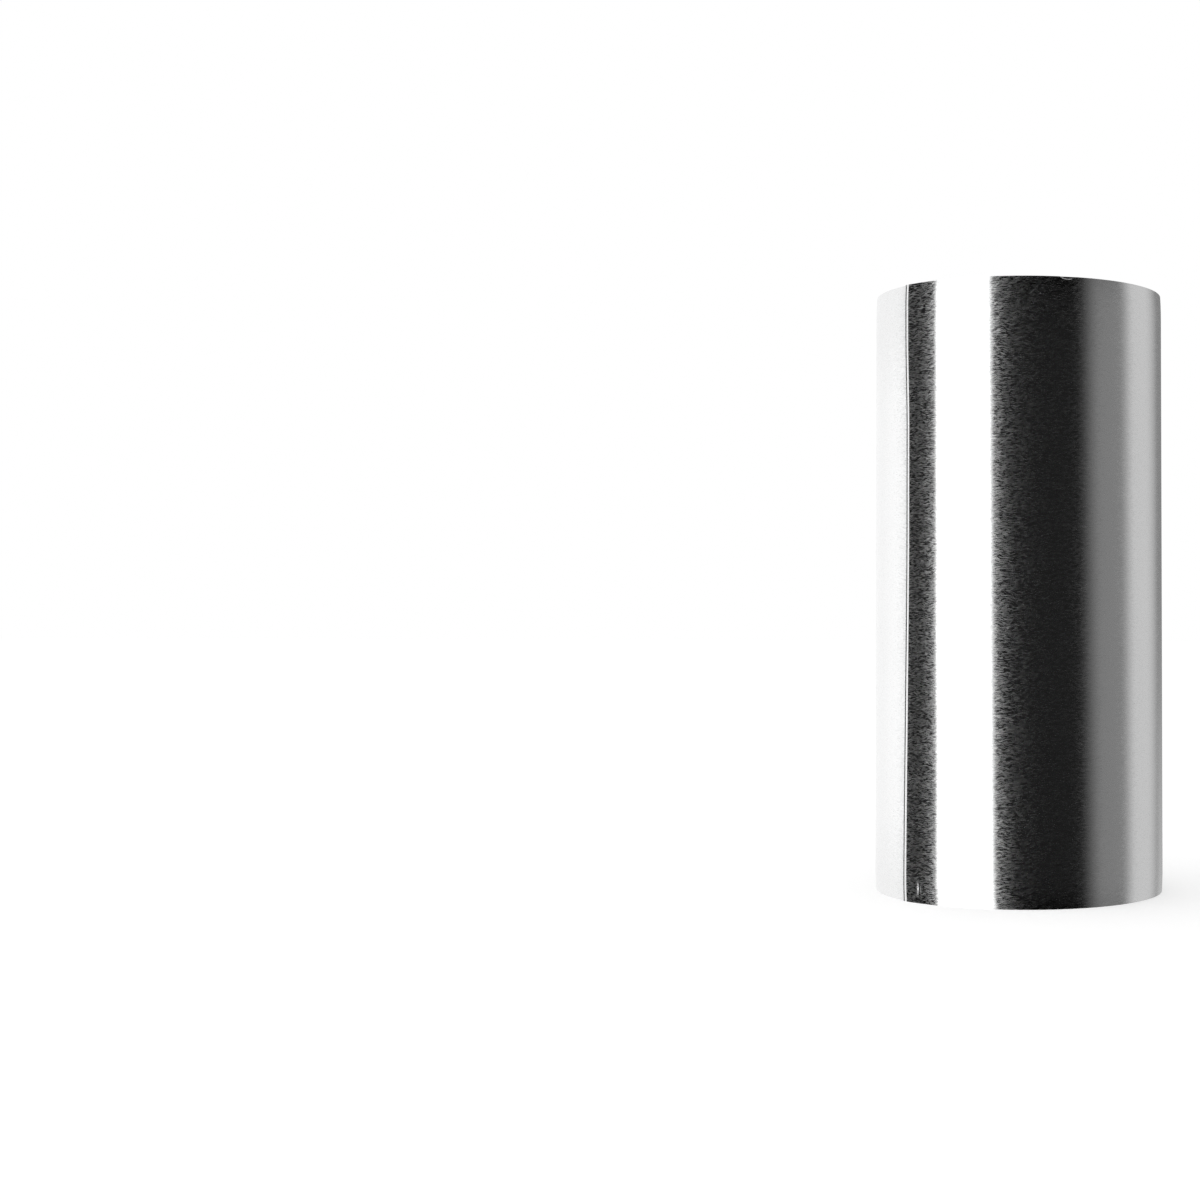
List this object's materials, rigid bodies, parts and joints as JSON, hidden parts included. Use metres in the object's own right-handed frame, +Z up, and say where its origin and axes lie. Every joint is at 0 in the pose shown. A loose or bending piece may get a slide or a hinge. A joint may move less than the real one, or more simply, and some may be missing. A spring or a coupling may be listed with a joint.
{
  "type": "aluminium foil roll",
  "caption": "Narrow roll of bright household aluminium foil on a cardboard tube, standing on its end, with a loose free edge.",
  "frame": {"origin": "centre of the end that the roll stands on, on the roll's axis", "axes": "+Z up along the roll's axis, -Y towards the viewer of the picture, +X to the viewer's right"},
  "size_m": [0.0485, 0.0486, 0.1],
  "materials": {
    "foil": "bright rolled foil, mirror-like with fine streaks round the roll",
    "core_board": "matte wound tube board with square-cut ends"
  },
  "bodies": {
    "root": {"foil": "foil", "core": "core_board"}
  },
  "joints": []
}
